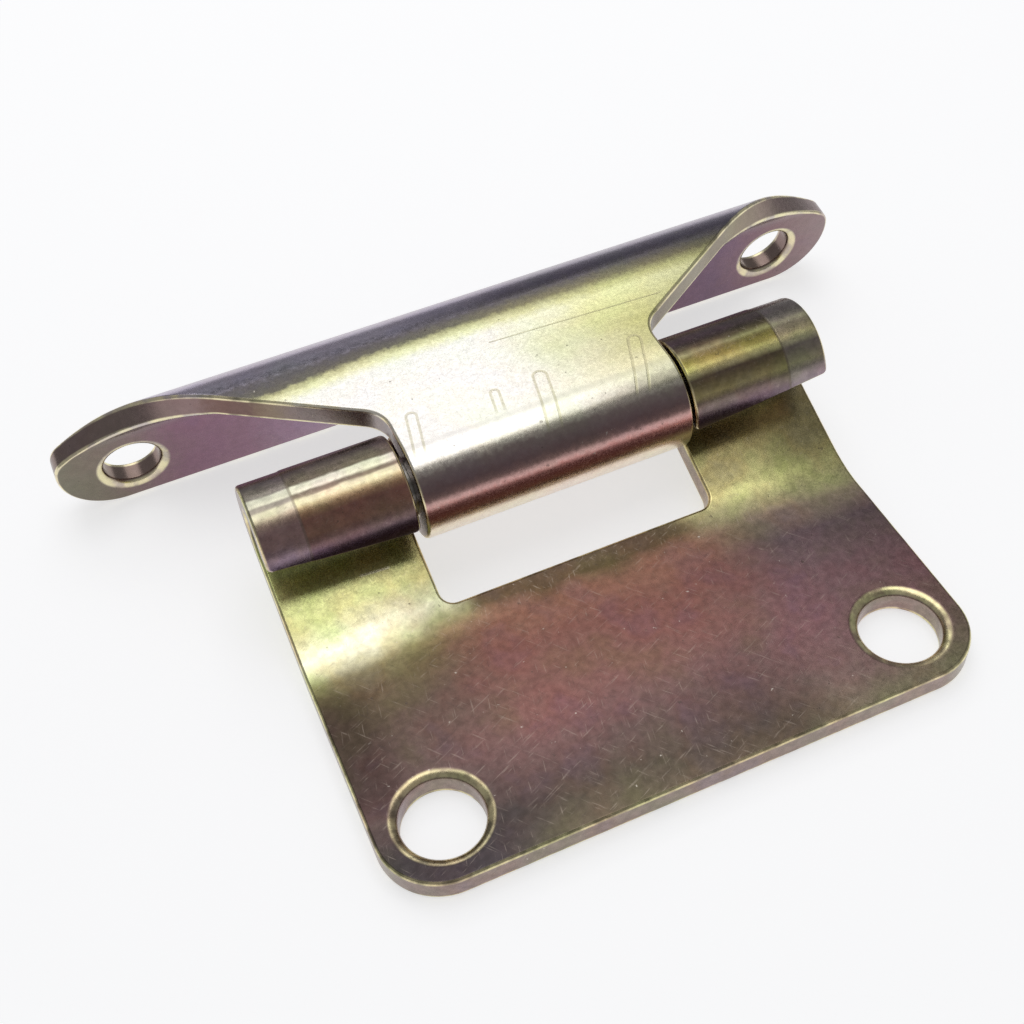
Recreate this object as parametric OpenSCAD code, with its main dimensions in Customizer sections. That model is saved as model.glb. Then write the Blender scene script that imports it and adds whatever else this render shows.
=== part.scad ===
// Bonnet hinge: two pressed sheet leaves rolled round one pin.
// X runs along the pin, Y from the free edge of the base leaf towards the pin, Z up.
// The origin is midway between the two base bolt holes, on the seating face.

/* [Sheet and pin] */
// Thickness of the pressed sheet of both leaves
sheet = 3; // [2.6:0.1:3.2]
// Diameter of the hinge pin
pin_d = 6.6; // [6:0.1:7]
// Radial running clearance of the pin in the rolled eyes
run_clear = 0.08; // [0.04:0.01:0.1]
// Depth of each pin end inside the eye
pin_inset = 0.6; // [0.2:0.1:2]
// Edge break on the pin ends
pin_chamfer = 0.5; // [0.2:0.1:1]

/* [Base leaf] */
// Distance between the base bolt holes
base_pitch = 54; // [52:0.5:62]
// Distance from a base bolt hole to the side of the base leaf
base_side = 7.4; // [6.6:0.1:12]
// Diameter of the base bolt holes
base_hole_d = 9; // [6:0.1:10]
// Distance from the bolt row to the free edge
base_edge = 7.3; // [7:0.1:12]
// Radius of the two free corners
base_corner = 7; // [3:0.5:10]
// Distance from the bolt row to the start of the bend
bend_start = 21.6; // [19:0.1:22.4]
// Inside radius of the bend between the flat plate and the neck
bend_r = 5; // [4:0.1:7]
// Distance from the bolt row to the pin axis
pin_back = 35.1; // [34:0.1:37]
// Height of the pin axis above the seating face
pin_up = 12.1; // [11.4:0.1:13]
// Length of neck between the bend and the notch for the centre eye
notch_from = 0.3; // [0.2:0.1:3]
// Corner radius at the bottom of the notch
notch_corner = 1.6; // [0.8:0.1:2.4]
// Angle swept by the rolled base eyes
base_sweep = 254; // [240:1:290]
// Length of the crimped end of each base eye
crimp_len = 5; // [3:0.5:8]
// Angle swept by the crimped ends, which are cut back at the corners
crimp_sweep = 238; // [230:1:290]

/* [Bonnet leaf] */
// Width of the centre eye along the pin
tab_w = 33; // [32:0.2:33.2]
// Angle swept by the rolled centre eye
tab_sweep = 296; // [260:1:297]
// Gap between the centre eye and a base eye when centred
eye_gap = 0.55; // [0.5:0.05:1]
// Distance the bonnet leaf sits to the right of centre, taking up end play
leaf_shift = 0.2; // [0:0.05:0.2]
// Length of the straight tab from the pin axis to the ridge
tab_len = 17.2; // [17:0.1:17.5]
// Outside radius of the ridge
ridge_r = 8.5; // [8.2:0.1:8.7]
// Lean of the flange from upright
flange_lean = 10.5; // [10:0.1:12]
// Distance from the pin axis to the root of the shoulder edge
shoulder_root = 6.1; // [6:0.1:6.4]
// Angle of the shoulder edge to the pin on the flat sheet
shoulder_angle = 33.6; // [33.4:0.2:34.6]
// Radius between the tab side and the shoulder edge
shoulder_fillet = 4.5; // [3:0.1:4.6]
// Distance between the bonnet bolt holes
ear_pitch = 88; // [84:0.5:90]
// Diameter of the bonnet bolt holes
ear_hole_d = 7; // [5:0.1:8]
// Height of the bonnet bolt holes above the lower edge of the flange
ear_hole_up = 6.2; // [6:0.1:7]
// Distance from the centre plane to the centre of the lower ear round
ear_round_x = 45.7; // [45.2:0.1:46.4]
// Radius of the lower round of each ear
ear_round = 7.4; // [7.1:0.1:7.8]
// Radius of the upper round of each ear
ear_tip = 3; // [2.4:0.1:3.6]

/* [Punched edges] */
// Width of the rounded lip on the entry side of a punched hole
lip_w = 0.8; // [0.3:0.05:1]
// Depth of the rounded lip on the entry side of a punched hole
lip_h = 0.6; // [0.3:0.05:0.8]

/* [Hidden] */
$fn = 96;
// Cutters run past the faces they cut by this much.
past = 1;
// A flat that runs on from a bend is thinner by this much on each face, so no face is tangent to another.
seam = 0.005;
// The end of such a flat is buried this far in the bend.
bury = 0.2;
// The side of a buried end stays this far inside the cut edge of the bend.
shy = 0.02;
// Steps used for a shoulder edge across the ridge.
ridge_steps = 24;
// Angle by which a shoulder cutter runs past each end of the ridge.
ridge_past = 2;
// Steps of a rounded lip.
lip_steps = 3;

pin_r = pin_d / 2;
bore_r = pin_r + run_clear;
eye_r = bore_r + sheet;
notch_w = tab_w + 2 * eye_gap;
base_w = base_pitch + 2 * base_side;

// The neck is the common tangent of the bend and the bore.
reach_y = pin_back - bend_start;
reach_z = pin_up - sheet - bend_r;
reach = norm([reach_y, reach_z]);
neck_angle = atan2(reach_z, reach_y) + asin((bend_r - bore_r) / reach);
neck_len = sqrt(pow(reach, 2) - pow(bend_r - bore_r, 2));

// The ridge joins the level tab to the leaning flange.
ridge_y = pin_back + tab_len;
ridge_z = pin_up + eye_r - ridge_r;
ridge_sweep = 90 - flange_lean;
ridge_in = ridge_r - sheet;
ridge_arc = ridge_r * ridge_sweep * PI / 180;
// The lower edge of the flange rests on the plane of the seating face.
flange_len = (ridge_z + ridge_in * sin(flange_lean)) / cos(flange_lean);

// The shoulder edge is one straight line on the flat sheet, from the fillet to the ear.
shoulder_slope = tan(shoulder_angle);
fillet_run = shoulder_fillet * tan((90 - shoulder_angle) / 2);
fillet_from = shoulder_root - fillet_run;
fillet_to_x = tab_w / 2 + fillet_run * cos(shoulder_angle);
fillet_to_y = shoulder_root + fillet_run * sin(shoulder_angle);
ridge_x = tab_w / 2 + (tab_len - shoulder_root) / shoulder_slope;
ear_x = ridge_x + ridge_arc / shoulder_slope;

// The upper ear round touches the shoulder line and the inside of the lower ear round.
tip_off_x = ear_x - ear_tip * sin(shoulder_angle) - ear_round_x;
tip_off_y = flange_len - ear_tip * cos(shoulder_angle) - ear_round;
tip_half = tip_off_x * cos(shoulder_angle) - tip_off_y * sin(shoulder_angle);
tip_rest = pow(tip_off_x, 2) + pow(tip_off_y, 2) - pow(ear_round - ear_tip, 2);
tip_run = sqrt(tip_half * tip_half - tip_rest) - tip_half;
tip_touch = [ear_x + tip_run * cos(shoulder_angle), flange_len - tip_run * sin(shoulder_angle)];
tip_at = [ear_round_x + tip_off_x + tip_run * cos(shoulder_angle),
          ear_round + tip_off_y - tip_run * sin(shoulder_angle)];
tip_angle = atan2(tip_at[1] - ear_round, tip_at[0] - ear_round_x);

// Turns a shape drawn in Y and Z, and thick along its third axis, to lie along X.
module along_x() {
    rotate([90, 0, 90])
        children();
}

// Part of a ring about the third axis, from one height to another.
module ring_part(inner, thick, low, high, sweep) {
    rotate_extrude(angle = sweep)
        translate([inner, low])
            square([thick, high - low]);
}

module rounded_plan(w, l, r) {
    square([w - 2 * r, l], center = true);
    square([w, l - 2 * r], center = true);
    for (i = [-1, 1])
        for (j = [-1, 1])
            translate([i * (w / 2 - r), j * (l / 2 - r)])
                circle(r);
}

// Cutter for the rounded lip of a punched hole whose entry face is at zero height.
module lip_cutter(d) {
    rim = [for (i = [0 : lip_steps]) let (a = 90 * i / lip_steps)
        [d / 2 + lip_w * (1 - cos(a)), lip_h * (sin(a) - 1)]];
    rotate_extrude()
        polygon(concat([[0, -lip_h]], rim, [[d / 2 + lip_w, past], [0, past]]));
}

module base_plan() {
    difference() {
        union() {
            translate([-base_w / 2, base_corner - base_edge])
                square([base_w, base_edge - base_corner + bend_start]);
            translate([base_corner - base_w / 2, -base_edge])
                square([base_w - 2 * base_corner, base_edge + bend_start]);
            for (i = [-1, 1])
                translate([i * (base_w / 2 - base_corner), base_corner - base_edge])
                    circle(base_corner);
        }
        for (i = [-1, 1])
            translate([i * base_pitch / 2, 0])
                circle(d = base_hole_d);
    }
}

// Neck with its rolled eye, as one piece across the whole leaf. The ends of the eye are crimped on the pin.
module neck() {
    side = base_w / 2;
    step = side - crimp_len;
    translate([bend_r + seam, -bury, shy - side])
        cube([sheet - 2 * seam, neck_len + bury, base_w - 2 * shy]);
    translate([bend_r - bore_r, neck_len, 0]) {
        ring_part(bore_r, sheet, -step, step, base_sweep);
        ring_part(pin_r, sheet, step, side, crimp_sweep);
        ring_part(pin_r, sheet, -side, -step, crimp_sweep);
    }
}

// Cutter for the notch that parts the eye in two and makes room for the centre eye.
module notch_cutter() {
    length = neck_len + eye_r + 2 * notch_corner - notch_from;
    depth = 2 * eye_r + 2 * past;
    translate([bend_r - bore_r - eye_r - past, notch_from + length / 2, 0])
        rotate([0, 90, 0])
            linear_extrude(depth)
                rounded_plan(notch_w, length, notch_corner);
}

module base_leaf() {
    color([0.60, 0.52, 0.34])
        difference() {
            union() {
                linear_extrude(sheet)
                    base_plan();
                along_x()
                    translate([bend_start, sheet + bend_r, 0]) {
                        rotate([0, 0, -90])
                            ring_part(bend_r, sheet, -base_w / 2, base_w / 2, neck_angle);
                        rotate([0, 0, neck_angle - 90])
                            neck();
                    }
            }
            along_x()
                translate([bend_start, sheet + bend_r, 0])
                    rotate([0, 0, neck_angle - 90])
                        notch_cutter();
            for (i = [-1, 1])
                translate([i * base_pitch / 2, 0, sheet])
                    lip_cutter(base_hole_d);
        }
}

// Half of the level tab, on the side of positive X, measured from the pin axis.
module tab_half() {
    half = tab_w / 2;
    difference() {
        polygon([[0, 0], [half, 0], [half, fillet_from], [half + shoulder_fillet, fillet_from],
            [fillet_to_x, fillet_to_y], [ridge_x - shy, tab_len], [ridge_x - shy, tab_len + bury],
            [0, tab_len + bury]]);
        translate([half + shoulder_fillet, fillet_from])
            circle(shoulder_fillet);
    }
}

// Half of the flange, on the side of positive X, measured up from its lower edge.
module flange_half() {
    wedge = 2 * ear_round;
    lap = tip_at + ear_tip / 2 * [sin(tip_angle), -cos(tip_angle)];
    difference() {
        union() {
            polygon([[0, 0], [ear_round_x, 0], lap, tip_touch, [ear_x - shy, flange_len],
                [ear_x - shy - 2 * bury / shoulder_slope, flange_len + bury],
                [0, flange_len + bury]]);
            intersection() {
                translate([ear_round_x, ear_round])
                    circle(ear_round);
                translate([ear_round_x, ear_round])
                    polygon([[0, 0], [0, -wedge], [wedge, -wedge],
                        [wedge * cos(tip_angle), wedge * sin(tip_angle)]]);
            }
            translate(tip_at)
                circle(ear_tip - shy);
        }
        translate([ear_pitch / 2, ear_hole_up])
            circle(d = ear_hole_d);
    }
}

// Waste beyond the shoulder edge on the ridge. Its near wall stays square to the sheet all the way.
module ridge_cutter() {
    low_r = ridge_in - past;
    high_r = ridge_r + past;
    out_x = ear_x + ear_round;
    turn = (ridge_sweep + 2 * ridge_past) / ridge_steps;
    angles = [for (i = [0 : ridge_steps]) 90 + ridge_past - i * turn];
    last = len(angles) - 1;
    edge = [for (a = angles) ridge_x + (90 - a) * PI / 180 * ridge_r / shoulder_slope];
    points = [for (i = [0 : last]) for (k = [0 : 3])
        let (r = k % 2 == 0 ? low_r : high_r, x = k < 2 ? edge[i] : out_x)
        [x, r * cos(angles[i]), r * sin(angles[i])]];
    end = 4 * last;
    walls = [for (i = [0 : last - 1]) let (a = 4 * i, b = 4 * i + 4)
        each [[a, b, a + 1], [b, b + 1, a + 1],
            [a + 1, b + 1, a + 3], [b + 1, b + 3, a + 3],
            [a + 3, b + 3, a + 2], [b + 3, b + 2, a + 2],
            [a + 2, b + 2, a], [b + 2, b, a]]];
    ends = [[0, 1, 3, 2], [end, end + 2, end + 3, end + 1]];
    translate([0, ridge_y, ridge_z])
        polyhedron(points, concat(walls, ends));
}

module ridge() {
    out = ear_x + past;
    difference() {
        along_x()
            translate([ridge_y, ridge_z, 0])
                rotate([0, 0, flange_lean])
                    ring_part(ridge_in, sheet, -out, out, ridge_sweep);
        for (i = [0, 1])
            mirror([i, 0, 0])
                ridge_cutter();
    }
}

module flange() {
    along_x()
        translate([ridge_y, ridge_z, 0])
            rotate([0, 0, flange_lean])
                translate([ridge_in + seam, -flange_len, 0])
                    difference() {
                        rotate([0, 90, 0])
                            linear_extrude(sheet - 2 * seam)
                                for (i = [0, 1])
                                    mirror([i, 0])
                                        flange_half();
                        for (i = [-1, 1])
                            translate([0, ear_hole_up, i * ear_pitch / 2])
                                rotate([0, -90, 0])
                                    lip_cutter(ear_hole_d);
                    }
}

module bonnet_leaf() {
    color([0.72, 0.66, 0.42])
        translate([leaf_shift, 0, 0]) {
            along_x()
                translate([pin_back, pin_up, 0])
                    rotate([0, 0, 90])
                        ring_part(bore_r, sheet, -tab_w / 2, tab_w / 2, tab_sweep);
            translate([0, pin_back, pin_up + bore_r + seam])
                linear_extrude(sheet - 2 * seam)
                    for (i = [0, 1])
                        mirror([i, 0])
                            tab_half();
            ridge();
            flange();
        }
}

module hinge_pin() {
    length = base_w - 2 * pin_inset;
    color([0.55, 0.53, 0.48])
        along_x()
            translate([pin_back, pin_up, -length / 2])
                rotate_extrude()
                    polygon([[0, 0], [pin_r - pin_chamfer, 0], [pin_r, pin_chamfer],
                        [pin_r, length - pin_chamfer], [pin_r - pin_chamfer, length], [0, length]]);
}

base_leaf();
bonnet_leaf();
hinge_pin();
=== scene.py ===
import math

import bpy
import numpy as np
from mathutils import Euler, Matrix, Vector
from mathutils.geometry import delaunay_2d_cdt


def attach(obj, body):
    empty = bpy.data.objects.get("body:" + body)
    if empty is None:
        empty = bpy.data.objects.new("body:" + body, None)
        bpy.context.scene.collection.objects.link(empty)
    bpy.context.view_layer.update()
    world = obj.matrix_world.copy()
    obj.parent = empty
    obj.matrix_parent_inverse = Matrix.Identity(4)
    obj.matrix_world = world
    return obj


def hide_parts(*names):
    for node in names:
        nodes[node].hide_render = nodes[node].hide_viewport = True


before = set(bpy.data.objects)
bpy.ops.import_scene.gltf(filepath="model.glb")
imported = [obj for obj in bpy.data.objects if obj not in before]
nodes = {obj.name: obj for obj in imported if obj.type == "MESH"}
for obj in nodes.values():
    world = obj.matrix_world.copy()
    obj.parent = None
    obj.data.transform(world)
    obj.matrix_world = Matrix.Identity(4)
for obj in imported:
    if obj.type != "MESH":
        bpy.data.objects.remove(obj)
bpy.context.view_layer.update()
scene = bpy.context.scene

MM = 0.001

# Sizes of the hinge that the looks refer to, in millimetres and degrees
SHEET = 3.0
PIN_Y, PIN_Z = 35.1, 12.1
BORE_R, CRIMP = 3.38, 0.08
EYE_R = BORE_R + SHEET
BASE_HALF, BASE_EDGE, BASE_CORNER = 34.4, 7.3, 7.0
BASE_HOLE_X, BASE_HOLE_R = 27.0, 4.5
CAD_BEND_START, CAD_BEND_R, BEND_R = 21.6, 5.0, 14.0
NOTCH_HALF, NOTCH_FROM, NOTCH_CORNER = 17.05, 0.3, 1.6
BASE_SWEEP, CRIMP_SWEEP, CRIMP_X = 254.0, 238.0, 29.4
TAB_HALF, TAB_LEN, TAB_SWEEP = 16.5, 17.2, 296.0
LEAF_SHIFT = 0.2
RIDGE_R, FLANGE_LEAN = 8.5, 10.5
SHOULDER_ROOT, SHOULDER_ANGLE, SHOULDER_FILLET = 6.1, 33.6, 4.5
EAR_X, EAR_R, EAR_TIP_R = 45.7, 7.4, 3.0
EAR_HOLE_X, EAR_HOLE_UP, EAR_HOLE_R = 44.0, 6.2, 3.5
CORNER = 0.7

# Rounds along the cut edges: width on the face, and depth
PLAIN_ROUND, LIP_ROUND, BACK_ROUND = (0.4, 0.4), (1.2, 0.8), (0.2, 0.2)

# Fineness of the meshes, in millimetres and counts
STEP, ARC_LEAST = 0.5, 4
ROW_GAP, ROW_MARGIN, ROW_CLEAR = 2.0, 1.0, 0.3
RIM_STEPS, BEND_STEPS, RIDGE_STEPS = 4, 10, 32
BASE_ROLL_STEPS, TAB_ROLL_STEPS = 64, 74
CRIMP_STEP, CRIMP_RUN = 0.3, 2.0
SAME_POINT, SAME_VERTEX = 1e-6, 1e-7


# Bent sheets with rounded rims, laid out flat as (x, s) and then folded

def clamp(value):
    return min(1.0, max(0.0, value))


def arc(cx, cy, r, start, end):
    """Points along an arc, both ends included, with angles in degrees."""
    n = max(ARC_LEAST, int(abs(math.radians(end - start)) * r / STEP) + 1)
    turn = [math.radians(start + (end - start) * k / n) for k in range(n + 1)]
    return [(cx + r * math.cos(a), cy + r * math.sin(a)) for a in turn]


def hole_pair(x, s, r):
    """Two round holes, as loops that run the other way round than the outline."""
    return [np.array(arc(side * x, s, r, 360, 0)[:-1]) for side in (-1, 1)]


def closed_loop(half):
    """A loop from its right half, with even steps along it."""
    full = half + [(-x, y) for x, y in reversed(half)]
    out = []
    for a, b in zip(full, full[1:] + full[:1]):
        gap = math.dist(a, b)
        if gap < SAME_POINT:
            continue
        n = max(1, math.ceil(gap / STEP))
        out += [(a[0] + (b[0] - a[0]) * k / n, a[1] + (b[1] - a[1]) * k / n) for k in range(n)]
    return np.array(out)


def outward(loop):
    """Unit vectors in the plane, pointing out of the sheet."""
    way = np.roll(loop, -1, 0) - np.roll(loop, 1, 0)
    way /= np.linalg.norm(way, axis=1, keepdims=True)
    return np.stack([way[:, 1], -way[:, 0]], 1)


def rim_profile(top, low):
    """Inset, depth and normal of each ring of vertices from the upper face to the lower one."""
    rings = []
    for (w, h), upper in ((top, True), (low, False)):
        for k in range(RIM_STEPS + 1):
            a = math.pi / 2 * (k if upper else RIM_STEPS - k) / RIM_STEPS
            depth = h * (1 - math.cos(a))
            up = math.cos(a) / h
            rings.append((w * (1 - math.sin(a)), depth if upper else SHEET - depth,
                          math.sin(a) / w, up if upper else -up))
    return rings


def winds(loop, p):
    """1 where the point lies inside the loop, else 0."""
    a, b = loop, np.roll(loop, -1, 0)
    span = (a[:, 1] > p[1]) != (b[:, 1] > p[1])
    with np.errstate(divide="ignore", invalid="ignore"):
        cross = a[:, 0] + (p[1] - a[:, 1]) * (b[:, 0] - a[:, 0]) / (b[:, 1] - a[:, 1])
    return int(np.count_nonzero(span & (p[0] < cross)) % 2)


def on_sheet(loops, p):
    """Whether the point is inside the outline, the first loop, and in no hole."""
    return sum(winds(loop, p) for loop in loops) == 1


def face_of(loops, rows):
    """Triangles that fill the loops, with the rows of points inside as fold lines."""
    points, edges = [], []
    for loop in loops:
        n, k = len(points), len(loop)
        points += [tuple(p) for p in loop]
        edges += [(n + i, n + (i + 1) % k) for i in range(k)]
    rim = np.array(points)
    for row in rows:
        last = None
        for p in row:
            if on_sheet(loops, p) and np.min(np.hypot(*(rim - p).T)) > ROW_CLEAR:
                points.append(tuple(p))
                if last is not None:
                    edges.append((last, len(points) - 1))
                last = len(points) - 1
            else:
                last = None
    flat = [Vector(p) for p in points]
    found, _, tris, origin, _, _ = delaunay_2d_cdt(flat, edges, [], 0, SAME_VERTEX)
    kept = []
    for tri in tris:
        middle = sum((np.array(found[v]) for v in tri)) / 3
        if on_sheet(loops, middle):
            kept.append([origin[v][0] for v in tri])
    return points, kept


def sheet_object(name, verts, faces, normals, flat):
    """Object with these normals, which keeps each point's place on the flat sheet."""
    mesh = bpy.data.meshes.new(name)
    mesh.from_pydata(verts, [], faces)
    places = mesh.attributes.new("flat", "FLOAT_VECTOR", "POINT")
    places.data.foreach_set("vector", np.array(flat).ravel())
    mesh.shade_smooth()
    mesh.normals_split_custom_set_from_vertices(normals)
    obj = bpy.data.objects.new(name, mesh)
    scene.collection.objects.link(obj)
    return obj


def bent_sheet(name, loops, rounds, rows, place):
    """A sheet cut to the loops, rounded along them and folded by place(x, s, depth)."""
    verts, normals, flat, faces = [], [], [], []

    def add(x, s, t, nx, ns, nt):
        at, along, up = place(x, s, t)
        n = Vector((nx, 0, 0)) + Vector(along) * ns + Vector(up) * nt
        verts.append([c * MM for c in at])
        normals.append(n.normalized())
        flat.append((x, s, t))

    rings = []
    for loop, (top, low) in zip(loops, rounds):
        out, part = outward(loop), []
        for inset, depth, side, up in rim_profile(top, low):
            part.append(len(verts))
            for p, o in zip(loop - out * inset, out):
                add(p[0], p[1], depth, o[0] * side, o[1] * side, up)
        rings.append(part)
        k = len(loop)
        for a, b in zip(part, part[1:]):
            faces += [(a + i, b + i, b + (i + 1) % k, a + (i + 1) % k) for i in range(k)]
    for end, depth, up in ((0, 0.0, 1.0), (-1, SHEET, -1.0)):
        edge = [loop - outward(loop) * pair[end][0] for loop, pair in zip(loops, rounds)]
        points, tris = face_of(edge, rows)
        ids = []
        for loop, part in zip(loops, rings):
            ids += [part[end] + i for i in range(len(loop))]
        for p in points[len(ids):]:
            ids.append(len(verts))
            add(p[0], p[1], depth, 0, 0, up)
        for tri in tris:
            turn = [ids[v] for v in tri]
            faces.append(turn if up > 0 else turn[::-1])
    return sheet_object(name, verts, faces, normals, flat)


# Base leaf, laid out along s from the bolt row

REACH_Y, REACH_Z = PIN_Y - CAD_BEND_START, PIN_Z - SHEET - CAD_BEND_R
ROLL_IN = CAD_BEND_R - BORE_R
NECK = math.atan2(REACH_Z, REACH_Y) + math.asin(ROLL_IN / math.hypot(REACH_Y, REACH_Z))
SOFTEN = (BEND_R - CAD_BEND_R) * math.tan(NECK / 2)
BEND_START = CAD_BEND_START - SOFTEN
BEND_END = BEND_START + BEND_R * NECK
ROLL_FROM = BEND_END - SOFTEN + math.sqrt(REACH_Y ** 2 + REACH_Z ** 2 - ROLL_IN ** 2)
NOTCH_EDGE = CAD_BEND_START + CAD_BEND_R * NECK + NOTCH_FROM


def base_place(x, s, t):
    """Place of a point of the flat base leaf, and the ways along s and out of its upper face."""
    if s < BEND_END:
        a = max(0.0, (s - BEND_START) / BEND_R)
        r = BEND_R + t
        run = min(s, BEND_START)
        y, z = run + r * math.sin(a), SHEET + BEND_R - r * math.cos(a)
    else:
        a = NECK + max(0.0, (s - ROLL_FROM) / EYE_R)
        tight = clamp((abs(x) - CRIMP_X) / CRIMP_STEP + 0.5)
        tight *= clamp((s - ROLL_FROM) / CRIMP_RUN)
        r = BORE_R + t - CRIMP * tight
        run = min(0.0, s - ROLL_FROM)
        y = PIN_Y + r * math.sin(a) + run * math.cos(a)
        z = PIN_Z - r * math.cos(a) + run * math.sin(a)
    return (x, y, z), (0, math.cos(a), math.sin(a)), (0, -math.sin(a), math.cos(a))


def base_outline():
    """Plate, neck and rolled ends, whose free edge slants from the crimp to the notch."""
    out = ROLL_FROM + EYE_R * math.radians(CRIMP_SWEEP)
    inner = ROLL_FROM + EYE_R * math.radians(BASE_SWEEP)
    half = [(0, -BASE_EDGE)]
    half += arc(BASE_HALF - BASE_CORNER, BASE_CORNER - BASE_EDGE, BASE_CORNER, -90, 0)
    half += arc(BASE_HALF - CORNER, out - CORNER, CORNER, 0, 90)
    half += arc(NOTCH_HALF + CORNER, inner - CORNER, CORNER, 90, 180)
    half += arc(NOTCH_HALF - NOTCH_CORNER, NOTCH_EDGE + NOTCH_CORNER, NOTCH_CORNER, 0, -90)
    return closed_loop(half + [(0, NOTCH_EDGE)])


def base_sheet():
    loops = [base_outline()] + hole_pair(BASE_HOLE_X, 0, BASE_HOLE_R)
    rounds = [(PLAIN_ROUND, PLAIN_ROUND)] + [(LIP_ROUND, BACK_ROUND)] * 2
    sweep = math.radians(BASE_SWEEP)
    bends = [BEND_START + BEND_R * NECK * k / BEND_STEPS for k in range(BEND_STEPS + 1)]
    bends += [ROLL_FROM + EYE_R * sweep * k / BASE_ROLL_STEPS for k in range(BASE_ROLL_STEPS + 1)]
    across = list(np.arange(-BASE_HALF + ROW_MARGIN, BASE_HALF, ROW_GAP))
    across += [i * (CRIMP_X + k * CRIMP_STEP / 2) for i in (-1, 1) for k in (-1, 1)]
    rows = [[(x, s) for x in sorted(across)] for s in bends]
    return bent_sheet("base_leaf_shown", loops, rounds, rows, base_place)


# Bonnet leaf, laid out along s from the top of the eye

RIDGE_TURN = math.radians(90 - FLANGE_LEAN)
RIDGE_Y, RIDGE_Z = PIN_Y + TAB_LEN, PIN_Z + EYE_R - RIDGE_R
RIDGE_END = TAB_LEN + RIDGE_R * RIDGE_TURN
LEAN, SLANT = math.radians(FLANGE_LEAN), math.radians(SHOULDER_ANGLE)
FLANGE_LEN = (RIDGE_Z + (RIDGE_R - SHEET) * math.sin(LEAN)) / math.cos(LEAN)
LOW_EDGE = RIDGE_END + FLANGE_LEN
EYE_START = -EYE_R * math.radians(TAB_SWEEP)
SHOULDER_X = TAB_HALF + (RIDGE_END - SHOULDER_ROOT) / math.tan(SLANT)


def bonnet_place(x, s, t):
    """Place of a point of the flat bonnet leaf, and the ways along s and out of its outer face."""
    if s < TAB_LEN:
        a = min(0.0, s / EYE_R)
        r = EYE_R - t
        y, z = PIN_Y + r * math.sin(a) + max(0.0, s), PIN_Z + r * math.cos(a)
    else:
        a = min(RIDGE_TURN, (s - TAB_LEN) / RIDGE_R)
        r = RIDGE_R - t
        run = max(0.0, s - RIDGE_END)
        y = RIDGE_Y + r * math.sin(a) + run * math.cos(a)
        z = RIDGE_Z + r * math.cos(a) - run * math.sin(a)
    return (x + LEAF_SHIFT, y, z), (0, math.cos(a), -math.sin(a)), (0, math.sin(a), math.cos(a))


def ear_tip():
    """Offset from the ear's centre to that of the round between the ear and the shoulder's cut."""
    co, si = math.cos(SLANT), math.sin(SLANT)
    off_x = SHOULDER_X - EAR_TIP_R * si - EAR_X
    off_h = FLANGE_LEN - EAR_TIP_R * co - EAR_R
    mid = off_x * co - off_h * si
    run = math.sqrt(mid ** 2 - off_x ** 2 - off_h ** 2 + (EAR_R - EAR_TIP_R) ** 2) - mid
    return off_x + run * co, off_h - run * si


def bonnet_outline():
    """Eye, tab, straight slanting shoulder and round ear."""
    tip_x, tip_h = ear_tip()
    tip_turn = math.degrees(math.atan2(tip_h, tip_x))
    fillet = SHOULDER_ROOT - SHOULDER_FILLET * math.tan(math.pi / 4 - SLANT / 2)
    ear_s = LOW_EDGE - EAR_R
    half = [(0, EYE_START)] + arc(TAB_HALF - CORNER, EYE_START + CORNER, CORNER, -90, 0)
    half += arc(TAB_HALF + SHOULDER_FILLET, fillet, SHOULDER_FILLET, 180, 90 + SHOULDER_ANGLE)
    half += arc(EAR_X + tip_x, ear_s - tip_h, EAR_TIP_R, SHOULDER_ANGLE - 90, -tip_turn)
    half += arc(EAR_X, ear_s, EAR_R, -tip_turn, 90)
    return closed_loop(half + [(0, LOW_EDGE)])


def bonnet_sheet():
    loops = [bonnet_outline()] + hole_pair(EAR_HOLE_X, LOW_EDGE - EAR_HOLE_UP, EAR_HOLE_R)
    rounds = [(PLAIN_ROUND, PLAIN_ROUND)] + [(BACK_ROUND, LIP_ROUND)] * 2
    rows = []
    for k in range(TAB_ROLL_STEPS + 1):
        s = EYE_START * k / TAB_ROLL_STEPS
        rows.append([(x, s) for x in np.arange(-TAB_HALF + ROW_MARGIN, TAB_HALF, ROW_GAP)])
    for k in range(RIDGE_STEPS + 1):
        s = TAB_LEN + RIDGE_R * RIDGE_TURN * k / RIDGE_STEPS
        rows.append([(x, s) for x in np.arange(-SHOULDER_X, SHOULDER_X, ROW_GAP)])
    return bent_sheet("bonnet_leaf_shown", loops, rounds, rows, bonnet_place)


# Materials: places in millimetres on the flat sheet, noise scales per millimetre

LINE_CORE = 0.4
ARCH_FADE = 1.5
BUMP_DEPTH = 0.02 * MM
NOISE_MEAN = 0.5
MIX_FACTOR, MIX_A, MIX_B, MIX_RESULT = 0, 6, 7, 2


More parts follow.
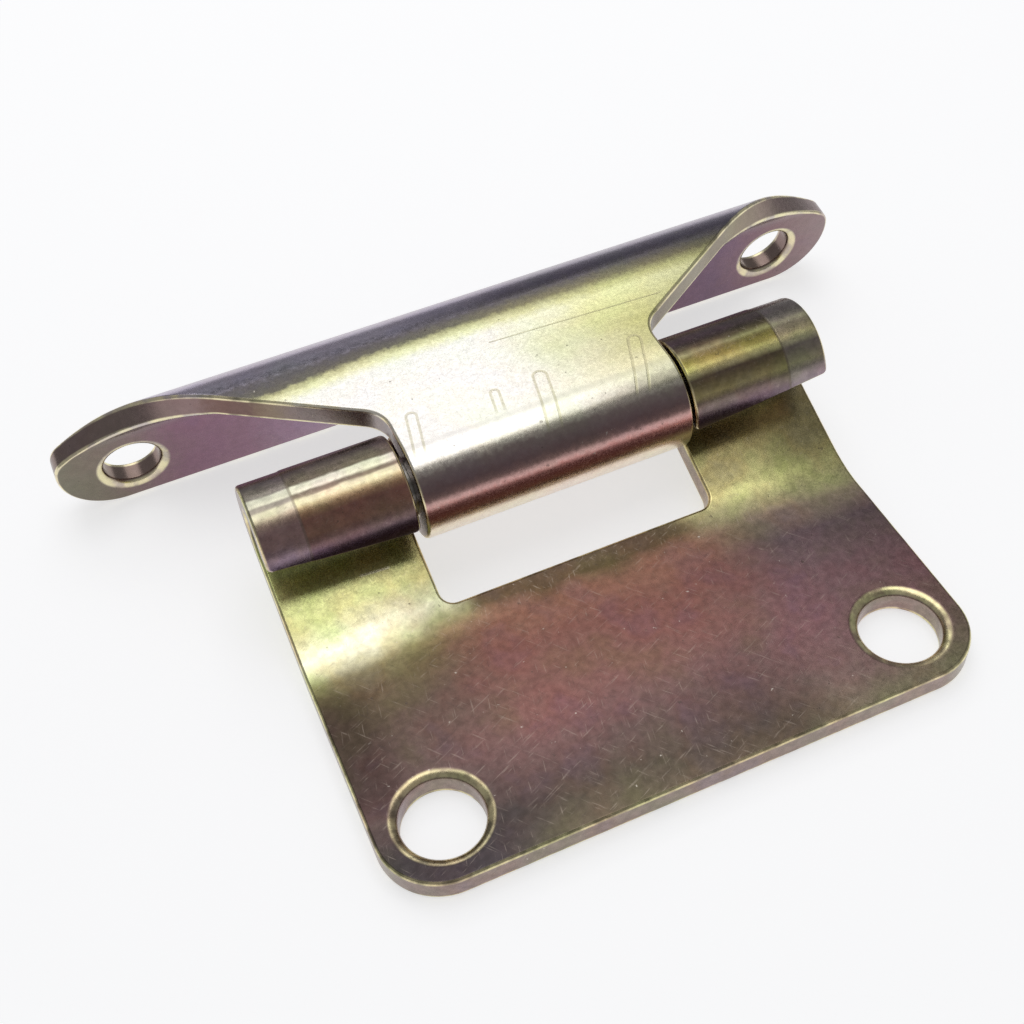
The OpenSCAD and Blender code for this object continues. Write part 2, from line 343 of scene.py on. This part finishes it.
class Tree:
    """Short forms for the nodes of one material."""

    def __init__(self, name):
        self.mat = bpy.data.materials.new(name)
        self.mat.use_nodes = True
        self.t = self.mat.node_tree
        self.t.nodes.clear()
        coord = self.node("ShaderNodeTexCoord")
        scale = self.node("ShaderNodeVectorMath", operation="SCALE")
        scale.inputs["Scale"].default_value = 1 / MM
        self.link(coord.outputs["Object"], scale.inputs[0])
        self.p = scale.outputs[0]
        flat = self.node("ShaderNodeAttribute", attribute_name="flat")
        sep = self.node("ShaderNodeSeparateXYZ")
        self.link(flat.outputs["Vector"], sep.inputs[0])
        self.x, self.s, self.depth = sep.outputs

    def node(self, kind, **props):
        n = self.t.nodes.new(kind)
        for k, v in props.items():
            setattr(n, k, v)
        return n

    def link(self, a, b):
        self.t.links.new(a, b)

    def put(self, socket, value):
        """Link a socket to the input, or write a plain value in it."""
        if isinstance(value, bpy.types.NodeSocket):
            self.link(value, socket)
        else:
            socket.default_value = value

    def math(self, op, a, b=0.0, c=0.0):
        n = self.node("ShaderNodeMath", operation=op)
        for socket, value in zip(n.inputs, (a, b, c)):
            self.put(socket, value)
        return n.outputs[0]

    def times(self, a, b):
        return self.math("MULTIPLY", a, b)

    def step(self, value, low, high):
        """A smooth change from 0 at low to 1 at high, which may be the smaller one."""
        n = self.node("ShaderNodeMapRange", interpolation_type="SMOOTHSTEP")
        for key, v in (("Value", value), ("From Min", low), ("From Max", high)):
            self.put(n.inputs[key], v)
        return n.outputs["Result"]

    def noise(self, scale, detail=3.0, stretch=(1, 1, 1), at=(0, 0, 0), turn=0):
        m = self.node("ShaderNodeMapping", vector_type="TEXTURE")
        m.inputs["Location"].default_value = at
        m.inputs["Scale"].default_value = [1 / v for v in stretch]
        m.inputs["Rotation"].default_value = (0, 0, math.radians(turn))
        self.link(self.p, m.inputs["Vector"])
        n = self.node("ShaderNodeTexNoise")
        n.inputs["Scale"].default_value = scale
        n.inputs["Detail"].default_value = detail
        self.link(m.outputs[0], n.inputs["Vector"])
        return n.outputs["Fac"]

    def shifted(self, value, noise, much):
        """The value moved to and fro by a noise."""
        return self.math("MULTIPLY_ADD", self.math("SUBTRACT", noise, NOISE_MEAN), much, value)

    def ramp(self, value, stops):
        """Colours at places along a value, blended between them."""
        low, high = stops[0][0], stops[-1][0]
        n = self.node("ShaderNodeMapRange")
        for key, v in (("Value", value), ("From Min", low), ("From Max", high)):
            self.put(n.inputs[key], v)
        r = self.node("ShaderNodeValToRGB")
        self.link(n.outputs["Result"], r.inputs["Fac"])
        elements = r.color_ramp.elements
        given = len(elements)
        for i, (at, colour) in enumerate(stops):
            e = elements[i] if i < given else elements.new(1.0)
            e.position = (at - low) / (high - low)
            e.color = (*colour, 1)
        return r.outputs["Color"]

    def mix(self, fac, a, b, mode="MIX"):
        n = self.node("ShaderNodeMix", data_type="RGBA", blend_type=mode)
        self.put(n.inputs[MIX_FACTOR], fac)
        for socket, value in ((n.inputs[MIX_A], a), (n.inputs[MIX_B], b)):
            self.put(socket, (*value, 1) if isinstance(value, tuple) else value)
        return n.outputs[MIX_RESULT]

    def dimmed(self, colour, level):
        """The colour multiplied by a level."""
        n = self.node("ShaderNodeCombineColor")
        for socket in n.inputs[:3]:
            self.link(level, socket)
        return self.mix(1.0, colour, n.outputs[0], "MULTIPLY")

    def away(self, a, b):
        """Distance on the flat sheet from a straight line between two places."""
        dx, ds = b[0] - a[0], b[1] - a[1]
        x, s = self.math("SUBTRACT", self.x, a[0]), self.math("SUBTRACT", self.s, a[1])
        u = self.math("MULTIPLY_ADD", x, dx, self.times(s, ds))
        u = self.math("DIVIDE", u, dx * dx + ds * ds)
        u = self.math("MINIMUM", self.math("MAXIMUM", u, 0.0), 1.0)
        x, s = self.math("MULTIPLY_ADD", u, -dx, x), self.math("MULTIPLY_ADD", u, -ds, s)
        return self.math("SQRT", self.math("MULTIPLY_ADD", x, x, self.times(s, s)))

    def line(self, a, b, width):
        return self.step(self.away(a, b), width, width * LINE_CORE)

    def arch(self, a, b, radius, width):
        """A narrow arch round the line from its top to its foot, open at the foot."""
        off = self.math("ABSOLUTE", self.math("SUBTRACT", self.away(a, b), radius))
        stroke = self.step(off, width, width * LINE_CORE)
        return self.times(stroke, self.step(self.s, b[1], b[1] + ARCH_FADE))

    def finish(self, colour, rough, height, bump):
        """Metal of this colour and roughness, with a bump from the height."""
        bsdf = self.node("ShaderNodeBsdfPrincipled")
        bsdf.inputs["Metallic"].default_value = 1.0
        self.put(bsdf.inputs["Base Color"], colour)
        self.put(bsdf.inputs["Roughness"], rough)
        b = self.node("ShaderNodeBump")
        b.inputs["Strength"].default_value = bump
        b.inputs["Distance"].default_value = BUMP_DEPTH
        self.link(height, b.inputs["Height"])
        self.link(b.outputs[0], bsdf.inputs["Normal"])
        out = self.node("ShaderNodeOutputMaterial")
        self.link(bsdf.outputs[0], out.inputs[0])
        return self.mat


# Wear of the plating

# Noise scales per millimetre; the last breaks the painted highlight along the rounded rims into
# patches
GRAIN, MOTTLE, TINT, FIBRE, SPECK, PIT, HIGHLIGHT_PATCH = 3.5, 1.1, 0.13, 4.5, 1.6, 1.3, 0.45
MOTTLE_BAND, MOTTLE_SHARE = (0.25, 0.75), 0.65
SHADE_SPAN, SHADE_DROP = 0.9, 0.42
TINTS = [(0.36, (0.90, 0.80, 1.0)), (0.45, (1.0, 0.84, 0.80)), (0.53, (0.97, 0.95, 0.90)),
         (0.64, (0.86, 0.98, 0.70))]
SCRATCH_WAYS = ((25, (3, 9, 2)), (-50, (6, 1, 8)), (80, (9, 4, 3)))
SCRATCH_STRETCH = (0.08, 1.0, 1.0)
SCRATCH_LIGHT, LIGHT_BAND, LIGHT_SHARE = (0.62, 0.52, 0.44), (0.64, 0.76), 0.30
SCRATCH_DARK, DARK_BAND, DARK_SHARE = (0.06, 0.05, 0.05), (0.36, 0.26), 0.35
SPECK_COLOUR, SPECK_BAND = (0.72, 0.66, 0.58), (0.74, 0.80)
PIT_COLOUR, PIT_BAND = (0.09, 0.07, 0.06), (0.28, 0.22)
SPOT_SHARE = 0.5
ROUGH_SPAN = 0.25


def wear(t, colour, rough, much):
    """Mottle, changes of tint, fine scratches, specks and pits over the plated colour."""
    grain = t.noise(GRAIN, 4.0)
    mottle = t.step(t.noise(MOTTLE, 6.0, at=(1, 6, 4)), *MOTTLE_BAND)
    shade = t.math("MULTIPLY_ADD", mottle, MOTTLE_SHARE, t.times(grain, 1 - MOTTLE_SHARE))
    level = t.math("MULTIPLY_ADD", shade, SHADE_SPAN * much, 1.0 - SHADE_DROP * much)
    colour = t.dimmed(colour, level)
    tint = t.ramp(t.noise(TINT, 4.0, at=(2, 8, 5)), TINTS)
    colour = t.mix(much, colour, t.mix(1.0, colour, tint, "MULTIPLY"))
    for turn, at in SCRATCH_WAYS:
        fibre = t.noise(FIBRE, 2.0, stretch=SCRATCH_STRETCH, at=at, turn=turn)
        light, dark = t.step(fibre, *LIGHT_BAND), t.step(fibre, *DARK_BAND)
        colour = t.mix(t.times(light, LIGHT_SHARE * much), colour, SCRATCH_LIGHT)
        colour = t.mix(t.times(dark, DARK_SHARE * much), colour, SCRATCH_DARK)
    speck = t.step(t.noise(SPECK, 2.0, at=(5, 5, 9)), *SPECK_BAND)
    colour = t.mix(t.times(speck, SPOT_SHARE), colour, SPECK_COLOUR)
    pit = t.step(t.noise(PIT, 2.0, at=(8, 2, 7)), *PIT_BAND)
    colour = t.mix(t.times(pit, SPOT_SHARE), colour, PIT_COLOUR)
    return colour, t.shifted(rough, grain, ROUGH_SPAN), t.math("SUBTRACT", shade, pit)


# Rims: depths below the nearer face at which a cut edge, and the painted highlight along its
# round, begin and are full

CUT_BAND, CUT_SHARE = (0.2, 0.5), 0.85
HIGHLIGHT_INSIDE, HIGHLIGHT_OUTSIDE = (0.55, 0.35), (0.01, 0.06)
HIGHLIGHT_PATCH_BAND, HIGHLIGHT_PATCH_LEAST, HIGHLIGHT_PATCH_SPAN = (0.36, 0.60), 0.25, 0.65


def rim_colours(t, colour, side, highlight):
    """Cut edges of the sheet, and a painted highlight in patches along the round at their upper
    and lower corners.
    """
    low, high = CUT_BAND
    cut = t.times(t.step(t.depth, low, high), t.step(t.depth, SHEET - low, SHEET - high))
    colour = t.mix(t.times(cut, CUT_SHARE), colour, side)
    off = t.math("ABSOLUTE", t.math("SUBTRACT", t.depth, SHEET / 2))
    inside, outside = (t.step(off, SHEET / 2 - a, SHEET / 2 - b)
                       for a, b in (HIGHLIGHT_INSIDE, HIGHLIGHT_OUTSIDE))
    # Patches of the painted highlight along the rounds
    highlight_patches = t.step(t.noise(HIGHLIGHT_PATCH, 4.0, at=(4, 4, 1)), *HIGHLIGHT_PATCH_BAND)
    highlight_patches = t.math("MULTIPLY_ADD", highlight_patches, HIGHLIGHT_PATCH_SPAN, HIGHLIGHT_PATCH_LEAST)
    return t.mix(t.times(t.times(inside, outside), highlight_patches), colour, highlight)


# Base leaf's plating, with painted highlights, painted reflections and painted shade: plate and
# neck along s in three fields, eyes by the angle from their top

# Plate and neck along s: the chromate tint, with a painted highlight across the bend and neck,
# brightest on the left, and a painted dark reflection on the bend in the middle
PLATE_MIDDLE = [
    (-7.3, (0.13, 0.105, 0.075)), (-4, (0.10, 0.08, 0.062)), (0, (0.14, 0.093, 0.088)),
    (4, (0.19, 0.11, 0.107)), (8, (0.23, 0.117, 0.106)), (16, (0.215, 0.106, 0.088)),
    (20, (0.29, 0.16, 0.115)), (22, (0.10, 0.07, 0.04)), (24, (0.09, 0.065, 0.045)),
    (26, (0.24, 0.20, 0.085)), (36, (0.30, 0.26, 0.12))]
PLATE_LEFT = [
    (-7.3, (0.06, 0.05, 0.055)), (-3, (0.056, 0.047, 0.05)), (1, (0.095, 0.07, 0.067)),
    (5, (0.15, 0.10, 0.095)), (14, (0.14, 0.095, 0.078)), (18, (0.17, 0.13, 0.08)),
    (20.5, (0.32, 0.29, 0.15)), (22.5, (0.60, 0.60, 0.36)), (24.5, (0.86, 0.86, 0.62)),
    (28, (0.64, 0.66, 0.30)), (36, (0.55, 0.55, 0.25))]
PLATE_RIGHT = [
    (-7.3, (0.28, 0.26, 0.16)), (-2, (0.25, 0.17, 0.155)), (4, (0.25, 0.14, 0.15)),
    (10, (0.20, 0.125, 0.135)), (16, (0.14, 0.10, 0.11)), (20, (0.29, 0.23, 0.175)),
    (22.5, (0.46, 0.43, 0.23)), (24.5, (0.80, 0.77, 0.35)), (28, (0.46, 0.42, 0.19)),
    (36, (0.36, 0.31, 0.16))]
# Round the base eyes by the angle from the top: the chromate tint with painted highlight bands,
# painted dark reflections between them, and painted shade towards the underside
EYE_LEFT = [
    (-156, (0.40, 0.34, 0.24)), (-20, (0.22, 0.16, 0.17)), (-11, (0.42, 0.33, 0.29)),
    (-4, (0.20, 0.16, 0.13)), (0.5, (0.14, 0.11, 0.09)), (3, (0.80, 0.75, 0.65)),
    (10.5, (0.78, 0.71, 0.60)), (13, (0.19, 0.15, 0.12)), (16, (0.20, 0.15, 0.12)),
    (18.5, (0.60, 0.53, 0.38)), (23, (0.66, 0.60, 0.40)), (27, (0.54, 0.44, 0.26)),
    (33, (0.42, 0.27, 0.16)), (40, (0.29, 0.15, 0.12)), (56, (0.33, 0.19, 0.14)),
    (64, (0.24, 0.15, 0.14)), (80, (0.19, 0.13, 0.18)), (110, (0.20, 0.14, 0.18))]
EYE_RIGHT = [
    (-156, (0.34, 0.29, 0.18)), (-12, (0.16, 0.11, 0.13)), (-4, (0.08, 0.06, 0.05)),
    (2, (0.13, 0.10, 0.065)), (8, (0.37, 0.33, 0.18)), (13, (0.25, 0.20, 0.085)),
    (18, (0.28, 0.23, 0.075)), (22, (0.42, 0.35, 0.12)), (27, (0.76, 0.69, 0.27)),
    (33, (0.58, 0.54, 0.28)), (38, (0.17, 0.13, 0.09)), (44, (0.22, 0.18, 0.10)),
    (56, (0.50, 0.45, 0.21)), (64, (0.24, 0.19, 0.15)), (80, (0.21, 0.15, 0.19)),
    (110, (0.21, 0.15, 0.19))]
LEFT_FIELD, RIGHT_FIELD, EYE_FIELDS = (-13.0, -25.0), (8.0, 22.0), (-2.0, 2.0)
PLATE_DRIFT_S, PLATE_DRIFT_X, EYE_DRIFT = 7.0, 16.0, 0.5
# Painted shade: the plate darker along its left edge, and the neck darker on the right
LEFT_SHADE_X, LEFT_SHADE_FROM, LEFT_SHADE_TO = (-26.0, -32.0), (1.0, 5.0), (20.0, 16.0)
RIGHT_SHADE_X, RIGHT_SHADE_S = (22.0, 32.0), (21.0, 24.0)
PAINTED_SHADE_DROP = 0.45
CRIMP_COLOUR, CRIMP_SHARE = (0.44, 0.38, 0.42), 0.35
CRIMP_BAND = (CRIMP_X - 0.1, CRIMP_X + 0.2)
RING_COLOUR, RING_SHARE, RING_BAND = (0.20, 0.16, 0.14), 0.6, (0.22, 0.08)
ROLL_BAND = (ROLL_FROM - 0.5, ROLL_FROM + 2.0)
# Colour of the cut faces, then the painted highlight along their rounded rims
BASE_SIDE, BASE_RIM_HIGHLIGHT = (0.34, 0.27, 0.24), (0.86, 0.77, 0.46)
NICK_FROM, NICK_TO, NICK_WIDTH = (-24.5, 30.6), (-21.3, 30.4), 0.22
NICK_COLOUR, NICK_SHARE = (0.85, 0.84, 0.66), 0.6
BASE_ROUGH, BASE_WEAR, BASE_BUMP = 0.27, 0.55, 0.25


def plate_colour(t):
    """Chromate tint on the plate and neck, with a painted highlight across the bend and neck, and
    painted shade along the left edge and on the right neck.
    """
    s = t.shifted(t.s, t.noise(0.07), PLATE_DRIFT_S)
    x = t.shifted(t.x, t.noise(0.09, at=(4, 1, 6)), PLATE_DRIFT_X)
    colour = t.mix(t.step(x, *LEFT_FIELD), t.ramp(s, PLATE_MIDDLE), t.ramp(s, PLATE_LEFT))
    colour = t.mix(t.step(x, *RIGHT_FIELD), colour, t.ramp(s, PLATE_RIGHT))
    # Painted shade along the left edge and on the right neck, multiplied into the colour
    left = t.times(t.step(t.s, *LEFT_SHADE_TO), t.step(t.s, *LEFT_SHADE_FROM))
    left = t.times(t.step(t.x, *LEFT_SHADE_X), left)
    right = t.times(t.step(t.x, *RIGHT_SHADE_X), t.step(t.s, *RIGHT_SHADE_S))
    dark = t.math("MAXIMUM", left, right)
    return t.dimmed(colour, t.math("MULTIPLY_ADD", dark, -PAINTED_SHADE_DROP, 1.0))


def eye_ramp(t, place, stops):
    """Colours round a base eye, by the angle from its top to the front."""
    def at(angle):
        return ROLL_FROM + EYE_R * (math.radians(180 + angle) - NECK)

    return t.ramp(place, [(at(angle), colour) for angle, colour in stops])


def crimp_ring(t):
    """The line pressed round each base eye where its crimped end begins."""
    off = t.math("SUBTRACT", t.math("ABSOLUTE", t.x), CRIMP_X)
    ring = t.step(t.math("ABSOLUTE", off), *RING_BAND)
    return t.times(ring, t.step(t.s, ROLL_FROM, ROLL_FROM + CRIMP_RUN))


def base_eye_colour(t, ring):
    """Painted highlight and reflection bands round the base eyes, streaked along them, their
    greyer crimped ends and the ring between.
    """
    place = t.shifted(t.s, t.noise(1.2, 4.0, stretch=(0.3, 1, 1)), EYE_DRIFT)
    left, right = (eye_ramp(t, place, stops) for stops in (EYE_LEFT, EYE_RIGHT))
    colour = t.mix(t.step(t.x, *EYE_FIELDS), left, right)
    crimped = t.step(t.math("ABSOLUTE", t.x), *CRIMP_BAND)
    colour = t.mix(t.times(crimped, CRIMP_SHARE), colour, CRIMP_COLOUR)
    return t.mix(t.times(ring, RING_SHARE), colour, RING_COLOUR)


def base_zinc():
    t = Tree("base zinc")
    ring = crimp_ring(t)
    colour = t.mix(t.step(t.s, *ROLL_BAND), plate_colour(t), base_eye_colour(t, ring))
    colour = rim_colours(t, colour, BASE_SIDE, BASE_RIM_HIGHLIGHT)
    nick = t.line(NICK_FROM, NICK_TO, NICK_WIDTH)
    colour = t.mix(t.times(nick, NICK_SHARE), colour, NICK_COLOUR)
    colour, rough, shade = wear(t, colour, BASE_ROUGH, BASE_WEAR)
    return t.finish(colour, rough, t.math("SUBTRACT", shade, ring), BASE_BUMP)


# Bonnet leaf's plating, with painted highlights and painted reflections: outside along s in two
# fields, inside and cut edges along x

# Along s round the centre eye: a painted highlight over its top, a painted dark band, then painted
# reflections of the base leaf towards its underside
CENTRE_EYE = [
    (-33, (0.55, 0.38, 0.30)), (-12.3, (0.95, 0.84, 0.70)), (-10.6, (0.98, 0.82, 0.66)),
    (-9.7, (0.95, 0.62, 0.48)), (-9.0, (0.80, 0.42, 0.36)), (-8.4, (0.62, 0.28, 0.25)),
    (-7.7, (0.70, 0.43, 0.40)), (-7.0, (0.34, 0.21, 0.19)), (-6.2, (0.23, 0.15, 0.15)),
    (-5.3, (0.26, 0.19, 0.19)), (-4.4, (0.31, 0.25, 0.23)), (-3.8, (0.52, 0.47, 0.40))]
# Along s over the tab and ridge: pale under a painted highlight on the tab, with a painted dark
# reflection where it turns over the ridge
TAB_LEFT = [
    (-3.2, (0.80, 0.76, 0.63)), (-2.6, (0.86, 0.84, 0.76)), (12.8, (0.86, 0.85, 0.80)),
    (14.2, (0.80, 0.80, 0.50)), (15.2, (0.50, 0.49, 0.27)), (15.8, (0.15, 0.14, 0.11)),
    (17.2, (0.12, 0.11, 0.12)), (18.0, (0.34, 0.32, 0.38)), (18.7, (0.54, 0.50, 0.60)),
    (20.2, (0.44, 0.39, 0.49))]
TAB_RIGHT = [
    (-3.2, (0.36, 0.33, 0.26)), (-2.2, (0.46, 0.43, 0.33)), (-1.4, (0.74, 0.71, 0.52)),
    (0.5, (0.80, 0.76, 0.46)), (3.0, (0.60, 0.58, 0.29)), (7.0, (0.58, 0.57, 0.25)),
    (10.5, (0.72, 0.72, 0.36)), (13.0, (0.84, 0.85, 0.46)), (14.4, (0.58, 0.58, 0.27)),
    (15.6, (0.24, 0.22, 0.13)), (17.2, (0.13, 0.12, 0.12)), (18.6, (0.16, 0.14, 0.19)),
    (20.2, (0.31, 0.27, 0.35))]
FLANGE_BACK = [
    (25.0, (0.55, 0.48, 0.52)), (30.0, (0.46, 0.38, 0.42)), (41.0, (0.46, 0.40, 0.38))]
FLANGE_INSIDE = [
    (-54, (0.21, 0.20, 0.15)), (-47, (0.22, 0.18, 0.15)), (-38, (0.26, 0.15, 0.20)),
    (-30, (0.31, 0.18, 0.25)), (-20, (0.39, 0.29, 0.38)), (22, (0.23, 0.13, 0.17)),
    (36, (0.20, 0.13, 0.18)), (44, (0.26, 0.16, 0.18)), (54, (0.31, 0.24, 0.24))]
BONNET_SIDE = [
    (-54, (0.23, 0.17, 0.14)), (-42, (0.24, 0.17, 0.14)), (-34, (0.21, 0.12, 0.10)),
    (-24, (0.15, 0.10, 0.10)), (-19, (0.30, 0.25, 0.25)), (0, (0.25, 0.22, 0.20)),
    (18, (0.17, 0.13, 0.13)), (28, (0.22, 0.18, 0.15)), (35, (0.31, 0.26, 0.16)),
    (45, (0.21, 0.14, 0.12)), (54, (0.21, 0.15, 0.14))]
# Painted highlight along the rounded rims
BONNET_RIM_HIGHLIGHT = (0.95, 0.86, 0.55)
TAB_FIELDS, TAB_DRIFT_S, TAB_DRIFT_X, INSIDE_DRIFT = (-4.0, 16.0), 1.2, 14.0, 4.0
CREST_X, CREST_S = (-13.0, -28.0), (18.0, 15.0)
RIDGE_BAND, RIDGE_MOVE = (14.5, 16.5), 9.0
INSIDE_DEPTH, INSIDE_S = (SHEET - 0.1, SHEET), (14.0, 20.0)
LONG_FROM, LONG_TO, LONG_WIDTH = (-1.2, 11.2), (20.5, 10.1), 0.12
ARCHES = [((-13.8, 3.9), (-15.1, -2.6), 0.6), ((-4.0, 3.2), (-4.6, -0.4), 0.5),
          ((1.7, 3.4), (0.2, -4.6), 0.8), ((14.0, 4.0), (11.2, -4.2), 0.75)]
ARCH_WIDTH, MARK_DEPTH = 0.22, (0.4, 0.1)
MARK_COLOUR, MARK_SHARE = (0.46, 0.43, 0.26), 0.55
BONNET_ROUGH, BONNET_WEAR, BONNET_BUMP = 0.25, 0.2, 0.3


def bonnet_colour(t):
    """Painted highlight and reflection bands from the eye over the tab and ridge, and the tint
    inside the flange.
    """
    speck = t.noise(1.6, 4.0)
    s = t.shifted(t.s, speck, TAB_DRIFT_S)
    s = t.math("MULTIPLY_ADD", t.step(t.x, *CREST_X), t.step(t.s, *CREST_S), s)
    x = t.shifted(t.x, t.noise(0.1), TAB_DRIFT_X)
    x = t.math("MULTIPLY_ADD", t.step(t.s, *RIDGE_BAND), RIDGE_MOVE, x)
    left, right = (t.ramp(s, CENTRE_EYE + tab + FLANGE_BACK) for tab in (TAB_LEFT, TAB_RIGHT))
    colour = t.mix(t.step(x, *TAB_FIELDS), left, right)
    inside = t.times(t.step(t.depth, *INSIDE_DEPTH), t.step(t.s, *INSIDE_S))
    return t.mix(inside, colour, t.ramp(t.shifted(t.x, speck, INSIDE_DRIFT), FLANGE_INSIDE))


def tool_marks(t):
    """A long line and four narrow arches on the outside of the tab and eye."""
    marks = t.line(LONG_FROM, LONG_TO, LONG_WIDTH)
    for top, foot, radius in ARCHES:
        marks = t.math("MAXIMUM", t.arch(top, foot, radius, ARCH_WIDTH), marks)
    return t.times(marks, t.step(t.depth, *MARK_DEPTH))


def bonnet_zinc():
    t = Tree("bonnet zinc")
    colour = rim_colours(t, bonnet_colour(t), t.ramp(t.x, BONNET_SIDE), BONNET_RIM_HIGHLIGHT)
    marks = tool_marks(t)
    colour = t.mix(t.times(marks, MARK_SHARE), colour, MARK_COLOUR)
    colour, rough, shade = wear(t, colour, BONNET_ROUGH, BONNET_WEAR)
    return t.finish(colour, rough, t.math("SUBTRACT", shade, marks), BONNET_BUMP)


# Pin's steel

PIN_TONES = [(0.3, (0.36, 0.34, 0.31)), (0.7, (0.56, 0.54, 0.50))]
PIN_ROUGH, PIN_BUMP = 0.35, 0.2


def pin_steel():
    t = Tree("pin steel")
    return t.finish(t.ramp(t.noise(1.5), PIN_TONES), PIN_ROUGH, t.noise(4.0), PIN_BUMP)


# Pieces on their bodies

for piece, node, body, slot, make in (
        (base_sheet(), "base_leaf", "base", "base_zinc", base_zinc),
        (bonnet_sheet(), "bonnet_leaf", "bonnet_side", "bonnet_zinc", bonnet_zinc)):
    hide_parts(node)
    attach(piece, body)
    piece.data.materials.append(make())
nodes["hinge_pin"].data.materials.clear()
nodes["hinge_pin"].data.materials.append(pin_steel())


# Floor: pale, and lifted to white for the camera and in reflections, in metres

FLOOR_SIZE, FLOOR_Z = 3, -0.0002
FLOOR_COLOUR, FLOOR_LIFT = (0.62, 0.62, 0.63, 1), 0.62


def floor_material():
    mat = bpy.data.materials.new("floor")
    mat.use_nodes = True
    t = mat.node_tree
    t.nodes.clear()
    paper = t.nodes.new("ShaderNodeBsdfDiffuse")
    paper.inputs["Color"].default_value = FLOOR_COLOUR
    path = t.nodes.new("ShaderNodeLightPath")
    shown = path.outputs["Is Camera Ray"]
    for ray in ("Is Glossy Ray", "Is Transmission Ray"):
        either = t.nodes.new("ShaderNodeMath")
        either.operation = "MAXIMUM"
        t.links.new(shown, either.inputs[0])
        t.links.new(path.outputs[ray], either.inputs[1])
        shown = either.outputs[0]
    lift = t.nodes.new("ShaderNodeMath")
    lift.operation = "MULTIPLY"
    lift.inputs[1].default_value = FLOOR_LIFT
    glow = t.nodes.new("ShaderNodeEmission")
    both = t.nodes.new("ShaderNodeAddShader")
    out = t.nodes.new("ShaderNodeOutputMaterial")
    t.links.new(shown, lift.inputs[0])
    t.links.new(lift.outputs[0], glow.inputs["Strength"])
    t.links.new(paper.outputs[0], both.inputs[0])
    t.links.new(glow.outputs[0], both.inputs[1])
    t.links.new(both.outputs[0], out.inputs[0])
    return mat


bpy.ops.mesh.primitive_plane_add(size=FLOOR_SIZE, location=(0, 0, FLOOR_Z))
floor = bpy.context.object
floor.name = "floor"
floor.data.materials.append(floor_material())


# Light: a dim sky, and three level panels side by side from behind the hinge to just in front

PANEL_Z, PANEL_LEFT, PANEL_RIGHT, TOP_RIGHT = 0.51, -0.16, 0.32, 0.22
TOP_FROM, MIDDLE_FROM, BACK_FROM, BACK_TO = -0.085, 0.253, 0.48, 0.626
BRIGHT, DIM = 1.5, 0.75
SKY_COLOUR, SKY_LEVEL = (0.96, 0.97, 1.0, 1), 0.28


def panel(name, right, front, back, radiance):
    light = bpy.data.lights.new(name, "AREA")
    light.shape = "RECTANGLE"
    light.size, light.size_y = right - PANEL_LEFT, back - front
    light.energy = radiance * math.pi * light.size * light.size_y
    obj = bpy.data.objects.new(name, light)
    scene.collection.objects.link(obj)
    obj.location = ((PANEL_LEFT + right) / 2, (front + back) / 2, PANEL_Z)


panel("back light", PANEL_RIGHT, BACK_FROM, BACK_TO, BRIGHT)
panel("middle light", PANEL_RIGHT, MIDDLE_FROM, BACK_FROM, DIM)
panel("top light", TOP_RIGHT, TOP_FROM, MIDDLE_FROM, BRIGHT)
world = bpy.data.worlds.new("world")
scene.world = world
world.use_nodes = True
sky = world.node_tree.nodes["Background"]
sky.inputs["Color"].default_value = SKY_COLOUR
sky.inputs["Strength"].default_value = SKY_LEVEL


# Camera, found from points measured in the photograph: metres, degrees, pixels, millimetres

CAMERA_AT = (-0.042153, -0.068964, 0.128734)
CAMERA_TURN = (40.942, 3.038, -23.607)
FOCAL_PX, PICTURE_PX = 1403.8, 1024.0
SENSOR, CLIP_FROM = 36.0, 5.0

lens = bpy.data.cameras.new("camera")
lens.sensor_width = SENSOR
lens.lens = FOCAL_PX / PICTURE_PX * SENSOR
lens.clip_start = CLIP_FROM * MM
camera = bpy.data.objects.new("camera", lens)
scene.collection.objects.link(camera)
camera.location = CAMERA_AT
camera.rotation_euler = Euler([math.radians(a) for a in CAMERA_TURN], "XYZ")
scene.camera = camera
scene.view_settings.view_transform = "Standard"
